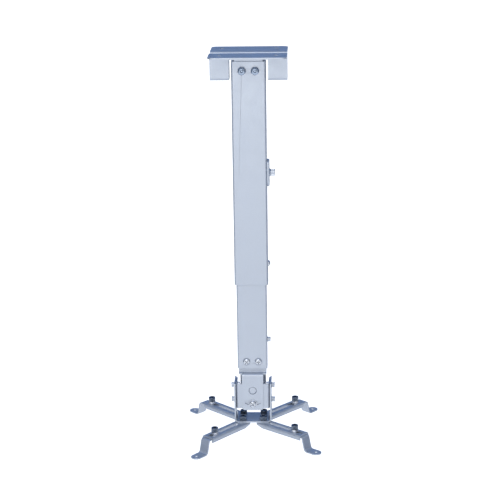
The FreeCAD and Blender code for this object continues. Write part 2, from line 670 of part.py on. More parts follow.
ROLL_HALF = "(TiltWidth / 2 - TiltSheet - SideGap)"
ROLL_FRONT = "(FrontFace - NeckSheet - RunningFit)"
TILT_PIVOT = "(%s + TiltPivotRise)" % ROLL_PIVOT
TILT_LOCK = "(%s - TiltSlotRadius)" % TILT_PIVOT
ROLL_LOCK = "(%s - RollSlotRadius)" % ROLL_PIVOT


def roll_bracket():
    body = doc.addObject("PartDesign::Body", "roll_bracket_fold")
    section = outline(sketch(body, "roll_section", "XY_Plane"), (
        ("-" + ROLL_HALF, "-" + ROLL_FRONT),
        (ROLL_HALF, "-" + ROLL_FRONT),
        (ROLL_HALF, "RollBack"),
        ("%s - RollSheet" % ROLL_HALF, "RollBack"),
        ("%s - RollSheet" % ROLL_HALF, "RollSheet - %s" % ROLL_FRONT),
        ("RollSheet - %s" % ROLL_HALF, "RollSheet - %s" % ROLL_FRONT),
        ("RollSheet - %s" % ROLL_HALF, "RollBack"),
        ("-" + ROLL_HALF, "RollBack"),
    ))
    pad(body, section, "roll_walls", "RollRise + RollFall", "One side")
    round_edges(body, "roll_outside_bends", "RollBend + RollSheet", section, (0, 1))
    round_edges(body, "roll_inside_bends", "RollBend", section, (4, 5))
    place(body, ("0", "0", ROLL_PIVOT + " - RollFall"))
    tools = [
        cylinder("roll_rivet_hole", "RollPivotRadius * 2 / 3 + ThreadClearance", "2 * RollSheet",
                 ("0", "RollSheet - %s + 1" % ROLL_FRONT, ROLL_PIVOT), FRONT),
        cylinder("roll_lock_hole", "SmallShank + ThreadClearance", "2 * RollSheet",
                 ("0", "RollSheet - %s + 1" % ROLL_FRONT, ROLL_LOCK), FRONT),
        cylinder("tilt_pivot_hole", "SmallShank + ThreadClearance", "TiltWidth",
                 ("-TiltWidth / 2", "0", TILT_PIVOT), RIGHT),
        cylinder("tilt_lock_hole", "SmallShank + ThreadClearance", "TiltWidth",
                 ("-TiltWidth / 2", "0", TILT_LOCK), RIGHT),
    ]
    return cut("roll_bracket", body, tools)


def roll_fasteners():
    """The riveted pivot boss, and the lock screw that runs in the arc slot."""
    boss_height = "(NeckSheet + RunningFit - 0.4)"
    shank_height = "RollSheet"
    boss = cylinder("roll_pivot_boss", "RollPivotRadius - RunningFit", boss_height)
    shank_at, closing_at = ("0", "0", "-" + shank_height), ("0", "0", "-%s - RollSheet" % shank_height)
    shank = cylinder("roll_pivot_shank", "RollPivotRadius * 2 / 3", shank_height, shank_at)
    closing = cylinder("roll_pivot_head", "RollPivotRadius", "RollSheet", closing_at)
    rivet = fuse("roll_pivot_rivet", [boss, shank, closing])
    place(rivet, ("0", "-" + ROLL_FRONT, ROLL_PIVOT), FRONT)

    washer_face = "(FrontFace + RunningFit)"
    seat = "(%s + SmallWasherThickness)" % washer_face
    ring = washer("roll_lock_washer", "SmallWasher", "SmallWasherThickness", "SmallShank")
    place(ring, ("0", "-" + washer_face, ROLL_LOCK), FRONT)
    length = "(%s - %s + RollSheet + SmallNutHeight + ShankEnd)" % (seat, ROLL_FRONT)
    screw = pan_screw("roll_lock_screw", "PanHead", "PanHeadHeight", length)
    place(screw, ("0", "-" + seat, ROLL_LOCK), FRONT)
    holder = nut("roll_lock_nut", "Small")
    place(holder, ("0", "RollSheet - %s" % ROLL_FRONT, ROLL_LOCK), BACK)
    return rivet, ring, screw, holder


# Tilt bracket: a folded U, open at the top, outside the roll bracket's walls

def tilt_bracket():
    body = doc.addObject("PartDesign::Body", "tilt_bracket_fold")
    low, high = "(%s - TiltFall)" % TILT_PIVOT, "(%s + TiltRise)" % TILT_PIVOT
    half, inside = "(TiltWidth / 2)", "(TiltWidth / 2 - TiltSheet)"
    section = outline(sketch(body, "tilt_section", "XZ_Plane"), (
        ("-" + half, high),
        ("-" + half, low),
        (half, low),
        (half, high),
        (inside, high),
        (inside, "%s + TiltSheet" % low),
        ("-" + inside, "%s + TiltSheet" % low),
        ("-" + inside, high),
    ))
    pad(body, section, "tilt_walls", "TiltDepth")
    round_edges(body, "tilt_outside_bends", "TiltBend + TiltSheet", section, (1, 2))
    round_edges(body, "tilt_inside_bends", "TiltBend", section, (5, 6))
    side = rectangle(
        sketch(body, "tilt_wall_outline", "YZ_Plane"), ("-TiltDepth / 2", "TiltDepth / 2"), (low, high))
    round_edges(body, "tilt_wall_corners", "TiltCorner", side, (2, 3))
    tools = [
        cylinder("tilt_bearing", "SmallShank + RunningFit", "2 * TiltWidth",
                 ("-TiltWidth", "0", TILT_PIVOT), RIGHT),
        arc_slot("tilt_slot", "TiltSlotRadius", "TiltSlotWidth", "TiltSlotHalfAngle", "2 * TiltWidth",
                 ("-TiltWidth", "0", TILT_PIVOT), RIGHT),
    ]
    for across, along in ARM_SIDES.values():
        at = (across + "ArmPivotAcross / 2", along + "ArmPivotAlong / 2", "%s - 1" % low)
        tools.append(cylinder("arm_bolt_hole", "LargeShank + ThreadClearance", "TiltSheet + 2", at))
    return cut("tilt_bracket", body, tools)


def tilt_fasteners():
    pivots, locks, nuts = [], [], []
    head_seat = "(TiltWidth / 2 + RunningFit)"
    nut_seat = "(%s - RollSheet)" % ROLL_HALF
    length = "(%s - %s + SmallNutHeight + ShankEnd)" % (head_seat, nut_seat)
    for side, across, outward, inward in (("left", "-", LEFT, RIGHT), ("right", "", RIGHT, LEFT)):
        for kind, height, screws in (("pivot", TILT_PIVOT, pivots), ("lock", TILT_LOCK, locks)):
            screw = cap_screw("tilt_%s_bolt_%s" % (kind, side), "Small", length)
            screws.append(place(screw, (across + head_seat, "0", height), outward))
            holder = nut("tilt_%s_nut_%s" % (kind, side), "Small")
            nuts.append(place(holder, (across + nut_seat, "0", height), inward))
    return group("tilt_pivot_bolts", pivots), group("tilt_lock_bolts", locks), group("tilt_bolt_nuts", nuts)


# Arms: channels that open downwards, each swinging on a bolt through the tilt bracket. Their
# flanges slope up towards the pivot.

ARM_SIDES = {
    "front_left": ("-", "-"),
    "front_right": ("", "-"),
    "rear_left": ("-", ""),
    "rear_right": ("", ""),
}
ARM_TOP = "(%s - TiltFall - RunningFit)" % TILT_PIVOT


def corner_name(corner):
    return "".join(word.capitalize() for word in corner.split("_"))


def arm_place(corner, run="0", height="0"):
    """Where a piece sits whose own +X points out along the arm, with its height above the arm."""
    across, along = ARM_SIDES[corner]
    angle = "Angle" + corner_name(corner)
    x = "%sArmPivotAcross / 2 + (%s) * cos(%s)" % (across, run, angle)
    y = "%sArmPivotAlong / 2 + (%s) * sin(%s)" % (along, run, angle)
    return (x, y, "%s + %s" % (ARM_TOP, height)), "vector(0; 0; 1); " + angle


def arm(corner):
    name = "arm_" + corner
    body = doc.addObject("PartDesign::Body", name + "_fold")
    half, inside = "(ArmWidth / 2)", "(ArmWidth / 2 - ArmSheet)"
    section = outline(sketch(body, name + "_section", "YZ_Plane"), (
        ("-" + half, "0"),
        ("-" + half, "-ArmHeight"),
        ("-" + inside, "-ArmHeight"),
        ("-" + inside, "-ArmSheet"),
        (inside, "-ArmSheet"),
        (inside, "-ArmHeight"),
        (half, "-ArmHeight"),
        (half, "0"),
    ))
    pad(body, section, name + "_channel", "ArmLength + ArmWidth / 2", "One side")
    round_edges(body, name + "_outside_bends", "ArmBend + ArmSheet", section, (0, 7))
    round_edges(body, name + "_inside_bends", "ArmBend", section, (3, 4))
    inner_end = "(ArmWidth / 2 - ArmTail)"
    run_out = outline(sketch(body, name + "_run_out_outline", "XZ_Plane"), (
        (inner_end, "-ArmEndHeight"),
        ("%s + ArmRunOut" % inner_end, "-ArmHeight"),
        ("%s + ArmRunOut" % inner_end, "-ArmHeight - 1"),
        ("-1", "-ArmHeight - 1"),
        ("-1", "-ArmEndHeight"),
    ))
    pocket(body, run_out, name + "_run_out", "2 * ArmWidth")
    place(body, ("-ArmWidth / 2", "0", "0"))
    former = fuse(name + "_former", [
        cylinder(name + "_tail", "ArmWidth / 2", "ArmHeight", ("0", "0", "-ArmHeight")),
        block(name + "_reach", ("-ArmTail", "ArmLength"), ("-ArmWidth", "ArmWidth"), ("-ArmHeight", "0")),
    ])
    through = "ArmSheet + 2"
    below = "-ArmSheet - 1"
    tools = [
        cylinder(name + "_bearing", "LargeShank + RunningFit", through, ("0", "0", below)),
        cylinder(name + "_slot_start", "ArmSlotWidth / 2", through, ("ArmSlotStart", "0", below)),
        cylinder(name + "_slot_end", "ArmSlotWidth / 2", through, ("ArmSlotEnd", "0", below)),
        block(name + "_slot", ("ArmSlotStart", "ArmSlotEnd"), ("-ArmSlotWidth / 2", "ArmSlotWidth / 2"),
              (below, "1")),
    ]
    channel = cut(name, common(name + "_trimmed", body, former), tools)
    return place(channel, *arm_place(corner))


def arm_fasteners():
    bolts, nuts = [], []
    length = "(TiltSheet + ArmSheet + 2 * RunningFit + LargeNutHeight + ShankEnd / 2)"
    for corner, (across, along) in ARM_SIDES.items():
        x, y = across + "ArmPivotAcross / 2", along + "ArmPivotAlong / 2"
        bolt = cap_screw("arm_pivot_bolt_" + corner, "Large", length)
        bolts.append(place(bolt, (x, y, "%s + RunningFit + TiltSheet" % ARM_TOP)))
        holder = nut("arm_pivot_nut_" + corner, "Large")
        nuts.append(place(holder, (x, y, "%s - ArmSheet - RunningFit" % ARM_TOP), DOWN))
    return group("arm_pivot_bolts", bolts), group("arm_pivot_nuts", nuts)


# Feet: strips that slide inside the arms, each with a sloping leg and a rounded tab

STRIP_WIDTH = "(ArmWidth - 2 * ArmSheet - 2 * ArmBend)"


def foot_strip(corner):
    name = "foot_strip_" + corner
    body = doc.addObject("PartDesign::Body", name + "_fold")
    inset = "(StripSheet * tan(LegAngle / 2))"
    foot_run = "(LegRun + LegDrop / tan(LegAngle))"
    tip = "(FootHoleRun + %s / 2)" % STRIP_WIDTH
    profile = outline(sketch(body, name + "_profile", "XZ_Plane"), (
        ("-StripTail", "0"),
        ("LegRun", "0"),
        (foot_run, "-LegDrop"),
        (tip, "-LegDrop"),
        (tip, "-LegDrop - StripSheet"),
        ("%s - %s" % (foot_run, inset), "-LegDrop - StripSheet"),
        ("LegRun - " + inset, "-StripSheet"),
        ("-StripTail", "-StripSheet"),
    ))
    pad(body, profile, name + "_strip", STRIP_WIDTH)
    round_edges(body, name + "_upper_outside_bend", "StripBend + StripSheet", profile, (1,))
    round_edges(body, name + "_upper_inside_bend", "StripBend", profile, (6,))
    round_edges(body, name + "_lower_outside_bend", "FootBend + StripSheet", profile, (5,))
    round_edges(body, name + "_lower_inside_bend", "FootBend", profile, (2,))
    depth = ("-LegDrop - StripSheet", "0")
    tall = "LegDrop + StripSheet"
    former = fuse(name + "_former", [
        cylinder(name + "_tip", STRIP_WIDTH + " / 2", tall, ("FootHoleRun", "0", depth[0])),
        block(name + "_reach", ("-StripTail", "FootHoleRun"), ("-ArmWidth", "ArmWidth"), depth),
    ])
    tools = [
        cylinder(name + "_thread", "LargeShank + ThreadClearance", "StripSheet + 2",
                 ("0", "0", "-StripSheet - 1")),
        cylinder(name + "_foot_hole", "FootHole / 2", "StripSheet + 2",
                 ("FootHoleRun", "0", "-LegDrop - StripSheet - 1")),
    ]
    strip = cut(name, common(name + "_trimmed", body, former), tools)
    at, turn = arm_place(corner, "Run" + corner_name(corner), "(-ArmSheet - RunningFit)")
    return place(strip, at, turn)


def foot_fasteners(corner):
    run = "Run" + corner_name(corner)
    flat_at = "RunningFit"
    spring_at = "(RunningFit + LargeWasherThickness)"
    seat = "(RunningFit + LargeWasherThickness + SpringWasher)"
    under = "(ArmSheet + RunningFit + StripSheet)"
    flat = washer("foot_flat_washer_" + corner, "LargeWasher", "LargeWasherThickness", "LargeShank")
    place(flat, *arm_place(corner, run, flat_at))
    spring = washer("foot_spring_washer_" + corner, "LargeHead", "SpringWasher", "LargeShank")
    place(spring, *arm_place(corner, run, spring_at))
    washers = group("foot_lock_washers_" + corner, [flat, spring])
    length = "(%s + %s + LargeNutHeight + ShankEnd / 2)" % (seat, under)
    bolt = cap_screw("foot_lock_bolt_" + corner, "Large", length)
    place(bolt, *arm_place(corner, run, seat))
    holder = nut("foot_lock_nut_" + corner, "Large")
    at, _ = arm_place(corner, run, "(-%s)" % under)
    place(holder, at, DOWN)
    return bolt, washers, holder


nodes = [ceiling_bracket(), outer_column(), inner_column(), height_lock_plate(), neck_bracket()]
nodes += [roll_bracket(), tilt_bracket()]
nodes += [*top_fasteners(), *side_screws(), *neck_fasteners(), *roll_fasteners()]
nodes += [*tilt_fasteners(), *arm_fasteners()]
for corner in ARM_SIDES:
    nodes += [arm(corner), foot_strip(corner), *foot_fasteners(corner)]
doc.recompute()

# Every object has to be sound before anything is written

for thing in doc.Objects:
    if "Invalid" in thing.State or "Error" in thing.State:
        raise RuntimeError("%s failed to build" % thing.Name)
for node in nodes:
    if node.Shape.isNull() or not node.Shape.isValid():
        raise RuntimeError("%s has no valid shape" % node.Label)

os.makedirs("parts", exist_ok=True)
for node in nodes:
    node.Shape.exportStep("parts/%s.step" % node.Label)
    print("%-32s %3d solids %10.1f mm3" % (node.Label, len(node.Shape.Solids), node.Shape.Volume))
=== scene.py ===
import json
import math
import bmesh
import bpy
from mathutils import Matrix, Vector


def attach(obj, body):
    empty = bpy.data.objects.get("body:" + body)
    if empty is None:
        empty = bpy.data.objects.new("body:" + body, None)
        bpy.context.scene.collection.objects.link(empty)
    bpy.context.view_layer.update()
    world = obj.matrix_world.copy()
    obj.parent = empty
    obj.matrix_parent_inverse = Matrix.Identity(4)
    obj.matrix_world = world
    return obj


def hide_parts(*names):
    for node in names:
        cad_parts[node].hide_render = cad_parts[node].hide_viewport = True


# Projector ceiling mount: finish, fastener detail, light and camera, all in metres

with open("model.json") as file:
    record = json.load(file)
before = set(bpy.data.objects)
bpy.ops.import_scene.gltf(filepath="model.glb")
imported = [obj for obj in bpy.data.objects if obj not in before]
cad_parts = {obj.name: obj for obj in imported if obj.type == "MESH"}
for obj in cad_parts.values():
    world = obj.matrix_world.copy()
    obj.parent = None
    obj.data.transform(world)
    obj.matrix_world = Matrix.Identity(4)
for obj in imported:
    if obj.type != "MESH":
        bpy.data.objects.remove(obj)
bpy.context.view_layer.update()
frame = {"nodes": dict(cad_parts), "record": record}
nodes = frame["nodes"]
scene = bpy.context.scene
MM = 0.001
CORNERS = ("front_left", "front_right", "rear_left", "rear_right")
LEFT, RIGHT = (-1, 0, 0), (1, 0, 0)
FRONT, BACK = (0, -1, 0), (0, 1, 0)
DOWN, UP = (0, 0, -1), (0, 0, 1)
BODY_OF = {}
for body, members in frame["record"]["behaviour"]["bodies"].items():
    for member in members:
        BODY_OF[member] = body


# Materials

def material(name, color, metallic, roughness):
    made = bpy.data.materials.new(name)
    made.use_nodes = True
    made.diffuse_color = (*color, 1)
    shader = made.node_tree.nodes["Principled BSDF"]
    shader.inputs["Base Color"].default_value = (*color, 1)
    shader.inputs["Metallic"].default_value = metallic
    shader.inputs["Roughness"].default_value = roughness
    return made, made.node_tree, shader


def noise(tree, scale, detail, rough=0.5):
    """A cloudy pattern that is fixed to the piece."""
    where = tree.nodes.new("ShaderNodeTexCoord")
    texture = tree.nodes.new("ShaderNodeTexNoise")
    texture.inputs["Scale"].default_value = scale
    texture.inputs["Detail"].default_value = detail
    texture.inputs["Roughness"].default_value = rough
    tree.links.new(where.outputs["Object"], texture.inputs["Vector"])
    return texture.outputs["Fac"]


def spread(tree, value, low, high, start=0.3, end=0.7):
    """A pattern's values from start to end, spread from low to high."""
    node = tree.nodes.new("ShaderNodeMapRange")
    node.inputs["From Min"].default_value = start
    node.inputs["From Max"].default_value = end
    node.inputs["To Min"].default_value = low
    node.inputs["To Max"].default_value = high
    tree.links.new(value, node.inputs["Value"])
    return node.outputs["Result"]


def mixed(tree, factor, first, second):
    """Two colours mixed. The factor is a number or a socket, and so is each colour."""
    node = tree.nodes.new("ShaderNodeMix")
    node.data_type = "RGBA"
    if isinstance(factor, float):
        node.inputs["Factor"].default_value = factor
    else:
        tree.links.new(factor, node.inputs["Factor"])
    for socket, value in (("A", first), ("B", second)):
        target = next(entry for entry in node.inputs if entry.identifier == socket + "_Color")
        if isinstance(value, tuple):
            target.default_value = (*value, 1)
        else:
            tree.links.new(value, target)
    return next(entry for entry in node.outputs if entry.identifier == "Result_Color")


def varied(tree, pattern, color, darkest, palest):
    """A colour between two shades of itself, as a pattern goes from 0 to 1."""
    dark = tuple(min(1, part * darkest) for part in color)
    pale = tuple(min(1, part * palest) for part in color)
    return mixed(tree, pattern, dark, pale)


def bump(tree, height, distance, strength, below=None):
    node = tree.nodes.new("ShaderNodeBump")
    node.inputs["Distance"].default_value = distance
    node.inputs["Strength"].default_value = strength
    tree.links.new(height, node.inputs["Height"])
    if below is not None:
        tree.links.new(below, node.inputs["Normal"])
    return node.outputs["Normal"]


def powder_coat(name, color):
    """Powder coat: a fine metallic grain, a slight orange peel and uneven gloss."""
    made, tree, shader = material(name, color, metallic=0.55, roughness=0.36)
    shader.inputs["Specular IOR Level"].default_value = 0.3
    broad = spread(tree, noise(tree, scale=7, detail=3), low=0, high=1)
    tone = varied(tree, broad, color, darkest=0.97, palest=1.03)
    grain = noise(tree, scale=1500, detail=3, rough=0.65)
    speck = spread(tree, grain, low=0, high=1, start=0.35, end=0.65)
    flake = varied(tree, speck, color, darkest=0.9, palest=1.08)
    tree.links.new(mixed(tree, 0.5, tone, flake), shader.inputs["Base Color"])
    gloss = spread(tree, noise(tree, scale=60, detail=4), low=0.32, high=0.41)
    tree.links.new(gloss, shader.inputs["Roughness"])
    peel = bump(tree, noise(tree, scale=420, detail=2), distance=0.06 * MM, strength=0.3)
    surface = bump(tree, grain, distance=0.03 * MM, strength=0.3, below=peel)
    tree.links.new(surface, shader.inputs["Normal"])
    return made


def plated(name, color, roughness):
    """Zinc plate with uneven gloss and fine tool marks."""
    made, tree, shader = material(name, color, metallic=1.0, roughness=roughness)
    patches = spread(tree, noise(tree, scale=220, detail=4, rough=0.6), low=0, high=1)
    tree.links.new(varied(tree, patches, color, darkest=0.85, palest=1), shader.inputs["Base Color"])
    gloss = spread(tree, noise(tree, scale=500, detail=3), low=roughness * 0.75, high=roughness * 1.35)
    tree.links.new(gloss, shader.inputs["Roughness"])
    marks = bump(tree, noise(tree, scale=1800, detail=3), distance=0.03 * MM, strength=0.2)
    tree.links.new(marks, shader.inputs["Normal"])
    return made


coat = powder_coat("silver_blue_coat", (0.48, 0.52, 0.585))
zinc = plated("bright_zinc", (0.52, 0.55, 0.60), roughness=0.24)
# A paler copy of the zinc for the washers: a painted highlight, where the washer rims catch the light
zinc_painted_highlight = plated("washer_zinc_painted_highlight", (0.72, 0.74, 0.78), roughness=0.28)
# A darker blue copy of the zinc for the top bolts: a painted dark reflection in their heads
zinc_painted_blue_reflection = plated("zinc_painted_dark_blue_reflection", (0.33, 0.39, 0.48), roughness=0.24)
# A near-black copy of the zinc for the arm bolts: a painted dark reflection of surroundings that the
# scene does not have
zinc_painted_dark_reflection = plated("zinc_with_painted_dark_reflection", (0.15, 0.18, 0.23), roughness=0.27)


# Sheet metal, whose edges the coat rounds a little

FASTENER_WORDS = ("bolt", "screw", "nut", "washer", "rivet")
EDGE_WIDTH = 0.25 * MM
EDGE_ANGLE = math.radians(40)
WELD_GAP = 1e-6


def soften(node):
    """Joins the mesh along its sharp edges, rounds them and keeps flat faces flat."""
    weld = node.modifiers.new("weld", "WELD")
    weld.merge_threshold = WELD_GAP
    edges = node.modifiers.new("edges", "BEVEL")
    edges.width = EDGE_WIDTH
    edges.segments = 2
    edges.limit_method = "ANGLE"
    edges.angle_limit = EDGE_ANGLE
    edges.use_clamp_overlap = True
    shading = node.modifiers.new("shading", "WEIGHTED_NORMAL")
    shading.weight = 100


for name in nodes:
    fastener = any(word in name for word in FASTENER_WORDS)
    nodes[name].data.materials.clear()
    nodes[name].data.materials.append(zinc if fastener else coat)
    if not fastener:
        soften(nodes[name])


# Fastener shapes, in millimetres, each with its head or seat above height 0

class Form:
    """Points and faces gathered ring by ring, from the bottom upwards."""

    def __init__(self):
        self.points = []
        self.faces = []
        self.last = None

    def ring(self, points):
        """A ring, joined to the last one unless that was closed."""
        first = len(self.points)
        self.points += [Vector(point) for point in points]
        added = list(range(first, len(self.points)))
        if self.last:
            self.band(self.last, added)
        self.last = added
        return added

    def band(self, below, above):
        for here in range(len(below)):
            after = (here + 1) % len(below)
            self.faces.append((below[here], below[after], above[after], above[here]))

    def close(self, height, upward=True):
        """A fan from the last ring to the axis."""
        tip = len(self.points)
        self.points.append(Vector((0, 0, height)))
        for here, first in enumerate(self.last):
            second = self.last[(here + 1) % len(self.last)]
            self.faces.append((first, second, tip) if upward else (second, first, tip))
        self.last = None


def even(count):
    return [2 * math.pi * number / count for number in range(count)]


def circle(radius, height, angles):
    return [(radius * math.cos(angle), radius * math.sin(angle), height) for angle in angles]


def around(radii, height, angles):
    """A ring whose radius differs from angle to angle."""
    return [(radius * math.cos(angle), radius * math.sin(angle), height)
            for radius, angle in zip(radii, angles)]


def hexagon(corner, angle):
    """Distance from the axis to a hexagon's side at an angle."""
    within = (angle % (math.pi / 3)) - math.pi / 6
    return corner * math.cos(math.pi / 6) / math.cos(within)


def shank(form, radius, length, pitch):
    """A threaded shank from its tip up to height 0."""
    angles = even(36)
    rings_per_turn = 5
    depth, crest, flank = 0.55 * pitch, 0.08, 0.34
    tip, tip_bevel = 0.5, 0.3
    first = form.ring(circle(radius - depth - tip_bevel, -length, angles))
    steps = max(6, round(rings_per_turn * (length - tip) / pitch))
    for step in range(steps + 1):
        height = tip - length + (length - tip) * step / steps
        run_in = min(1, step / rings_per_turn)
        radii = []
        for angle in angles:
            phase = (height / pitch - angle / (2 * math.pi)) % 1
            groove = min(1, max(0, (0.5 - abs(phase - 0.5) - crest) / flank))
            radii.append(radius - depth * (1 - run_in * (1 - groove)))
        form.ring(around(radii, height, angles))
    form.last = first
    form.close(-length, upward=False)


UNDERSIDE_INNER = 0.3


def cap_head(form, radius, height, socket):
    """A knurled cylinder head with a hexagon socket."""
    knurls, groove, lead = 40, 0.3, 0.2
    low, high = 0.6, height - 0.9
    bevel, shoulder = 0.35, ((0, 0.6), (0.2, 0.2), (0.65, 0))
    socket_rim, socket_depth, socket_point = 0.25, 2.4, 0.5
    angles = even(3 * knurls)
    plain = [radius for angle in angles]
    grooved = [radius - (groove if number % 3 == 1 else 0) for number in range(3 * knurls)]
    form.ring(circle(radius * UNDERSIDE_INNER, 0, angles))
    form.ring(circle(radius - bevel, 0, angles))
    form.ring(circle(radius, bevel, angles))
    for radii, level in ((plain, low), (grooved, low + lead), (grooved, high - lead), (plain, high)):
        form.ring(around(radii, level, angles))
    for inset, below in shoulder:
        form.ring(circle(radius - inset, height - below, angles))
    sides = [hexagon(socket, angle) for angle in angles]
    for grown, below in ((socket_rim, 0), (0, socket_rim), (0, socket_depth)):
        form.ring(around([side + grown for side in sides], height - below, angles))
    form.close(height - socket_depth - socket_point)


def cross_recess(length, width):
    """The angles and radii of a cross recess seen from above, anticlockwise from +X."""
    quarter = [
        (length, 0), (length, width * 0.6), (length * 0.97, width), (length * 0.8, width),
        (length * 0.6, width), (length * 0.42, width * 1.02), (width * 1.5, width * 1.12),
        (width * 1.2, width * 1.2),
    ]
    quarter += [(y, x) for x, y in reversed(quarter[1:-1])]
    points = quarter + [(-y, x) for x, y in quarter]
    points += [(-x, -y) for x, y in points]
    return [math.atan2(y, x) for x, y in points], [math.hypot(x, y) for x, y in points]


def hexagon_recess(corner):
    """The angles and radii of a hexagon recess."""
    angles = even(72)
    return angles, [hexagon(corner, angle) for angle in angles]


def domed_head(form, radius, height, recess, fullness):
    """A domed head. The recess is given as angles and radii, and fullness squares the shoulder."""
    angles, inner = recess
    rim, edge, recess_rim = 0.25, 0.12, 0.12
    bands, crowding, roundness = 18, 0.6, 2.1

    def dome(across):
        share = min(1, across / radius)
        return rim + (height - rim) * (1 - share ** fullness) ** (1 / roundness)

    form.ring(circle(radius * UNDERSIDE_INNER, 0, angles))
    form.ring(circle(radius - edge, 0, angles))
    form.ring(circle(radius, edge, angles))
    for band in range(1, bands + 1):
        share = (1 - band / bands) ** crowding
        points = []
        for angle, side in zip(angles, inner):
            across = side + recess_rim + (radius - side - recess_rim) * share
            points.append((across * math.cos(angle), across * math.sin(angle), dome(across)))
        form.ring(points)
    top, bottom = dome(0), 2.3
    for share, depth in ((1.0, 0.25), (0.86, 1.2), (0.62, 2.0)):
        form.ring(around([side * share for side in inner], top - depth, angles))
    form.close(top - bottom)


def nut_form(corner, height, hole):
    """A hexagon nut, chamfered on both faces, its seat at height 0."""
    form = Form()
    angles = even(72)
    sides = [hexagon(corner, angle) for angle in angles]
    chamfer, slope, edge = corner * 0.855, 0.5, 0.05
    drops = [max(0, side - chamfer) * slope + edge for side in sides]
    face, lead, lead_depth = chamfer - 0.15, hole + 0.45, 0.5
    first = form.ring(circle(hole, height - lead_depth, angles))
    form.ring(circle(hole, lead_depth, angles))
    form.ring(circle(lead, 0, angles))
    form.ring(circle(face, 0, angles))
    flats = list(zip(around(sides, 0, angles), drops))
    form.ring([(x, y, drop) for (x, y, _), drop in flats])
    form.ring([(x, y, height - drop) for (x, y, _), drop in flats])
    form.ring(circle(face, height, angles))
    form.ring(circle(lead, height, angles))
    form.band(form.last, first)
    return form


def washer_form(radius, hole, thickness):
    """A stamped washer, rounded at its edges."""
    form = Form()
    angles = even(64)
    profile = (
        (hole, 0.12), (hole + 0.12, 0), (radius - 0.2, 0), (radius, 0.2), (radius, thickness - 0.2),
        (radius - 0.2, thickness), (hole + 0.25, thickness), (hole, thickness - 0.25),
    )
    rings = [form.ring(circle(across, height, angles)) for across, height in profile]
    form.band(rings[-1], rings[0])
    return form


def spring_form(radius, hole, height):
    """A split spring washer, pressed almost flat by its bolt."""
    form = Form()
    split, lift, steps = 7, 0.25, 60
    thickness = height - lift
    rows = []
    for step in range(steps + 1):
        angle = math.radians(split + (360 - 2 * split) * step / steps)
        rise = lift * step / steps
        row = []
        for across, level in ((hole, 0), (radius, 0), (radius, thickness), (hole, thickness)):
            row.append(len(form.points))
            form.points.append(Vector((across * math.cos(angle), across * math.sin(angle), level + rise)))
        rows.append(row)
    for row, following in zip(rows, rows[1:]):
        for here in range(4):
            after = (here + 1) % 4
            form.faces.append((row[here], following[here], following[after], row[after]))
    form.faces.append(tuple(rows[0]))
    form.faces.append(tuple(reversed(rows[-1])))
    return form


# Places of the fasteners, from the boxes of the solids that they stand for

SAME_POINT = 1e-7


def solids(name):
    """The boxes of a node's separate solids, from left to right."""
    mesh = bmesh.new()
    mesh.from_mesh(nodes[name].data)
    bmesh.ops.remove_doubles(mesh, verts=mesh.verts, dist=SAME_POINT)
    left = set(mesh.verts)
    boxes = []
    while left:
        waiting = [left.pop()]
        island = list(waiting)
        while waiting:
            for edge in waiting.pop().link_edges:
                for vert in edge.verts:
                    if vert in left:
                        left.remove(vert)
                        waiting.append(vert)
                        island.append(vert)
        low = Vector([min(vert.co[axis] for vert in island) for axis in range(3)])
        high = Vector([max(vert.co[axis] for vert in island) for axis in range(3)])
        boxes.append((low, high))
    mesh.free()
    return sorted(boxes, key=lambda box: [round(part, 5) for part in box[0]])


def seat(box, direction, height):
    """A fastener's place, half width and length. Its seat lies height below the box's end."""
    low, high = box
    direction = Vector(direction)
    along = max(range(3), key=lambda axis: abs(direction[axis]))
    place = (low + high) / 2
    end = high if direction[along] > 0 else low
    place[along] = end[along] - direction[along] * height * MM
    rotation = direction.to_track_quat("Z", "Y").to_matrix().to_4x4()
    size = (high - low) / MM
    return Matrix.Translation(place) @ rotation, size[(along + 1) % 3] / 2, size[along]


def outward(box):
    return RIGHT if (box[0] + box[1]).x > 0 else LEFT


def inward(box):
    return LEFT if (box[0] + box[1]).x > 0 else RIGHT


def seats(node, direction, height=0):
    """The seat of each solid. The direction may depend on the solid's box."""
    found = []
    for box in solids(node):
        towards = direction(box) if callable(direction) else direction
        found.append(seat(box, towards, height))
    return found


def lowered(matrix, depth):
    return matrix @ Matrix.Translation((0, 0, -depth * MM))


# Fasteners, each in the place of its solids

SHARP = math.radians(32)
WASHER_PLAY = 0.2
THREAD_PLAY = 0.02
NEXT_TURN = 0.9
CROSS_WIDTH = 0.55
LARGE = {"shank": 3.0, "pitch": 1.0, "socket": 2.9, "nut": 5.77}
SMALL = {"shank": 2.5, "pitch": 0.8, "socket": 2.3, "nut": 4.62}


def piece(node, forms, finish):
    """One mesh of several placed forms. It stands for a node and rides where that rides."""
    points, faces = [], []
    for form, matrix in forms:
        first = len(points)
        points += [matrix @ (point * MM) for point in form.points]
        faces += [tuple(first + corner for corner in side) for side in form.faces]
    name = node + "_detail"
    mesh = bpy.data.meshes.new(name)
    mesh.from_pydata(points, [], faces)
    mesh.materials.append(finish)
    mesh.update()
    mesh.set_sharp_from_angle(angle=SHARP)
    made = bpy.data.objects.new(name, mesh)
    scene.collection.objects.link(made)
    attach(made, BODY_OF[node])
    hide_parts(node)


def screws(node, direction, kind, head, height, radius, finish=zinc, turn=0.3):
    """Screws with cap, cross or domed heads. Each is turned a little further than the last."""
    forms = []
    for number, (matrix, _, length) in enumerate(seats(node, direction, height)):
        form = Form()
        shank(form, kind["shank"], length - height, kind["pitch"])
        if head == "cap":
            cap_head(form, radius, height, kind["socket"])
        elif head == "cross":
            domed_head(form, radius, height, cross_recess(radius * 0.55, CROSS_WIDTH), fullness=3.4)
        else:
            domed_head(form, radius, height, hexagon_recess(SMALL["socket"]), fullness=2.3)
        forms.append((form, matrix @ Matrix.Rotation(turn + NEXT_TURN * number, 4, "Z")))
    piece(node, forms, finish)


def nuts(node, direction, kind):
    forms = []
    for matrix, _, height in seats(node, direction):
        form = nut_form(kind["nut"], height, kind["shank"] + THREAD_PLAY)
        forms.append((form, lowered(matrix, height)))
    piece(node, forms, zinc)


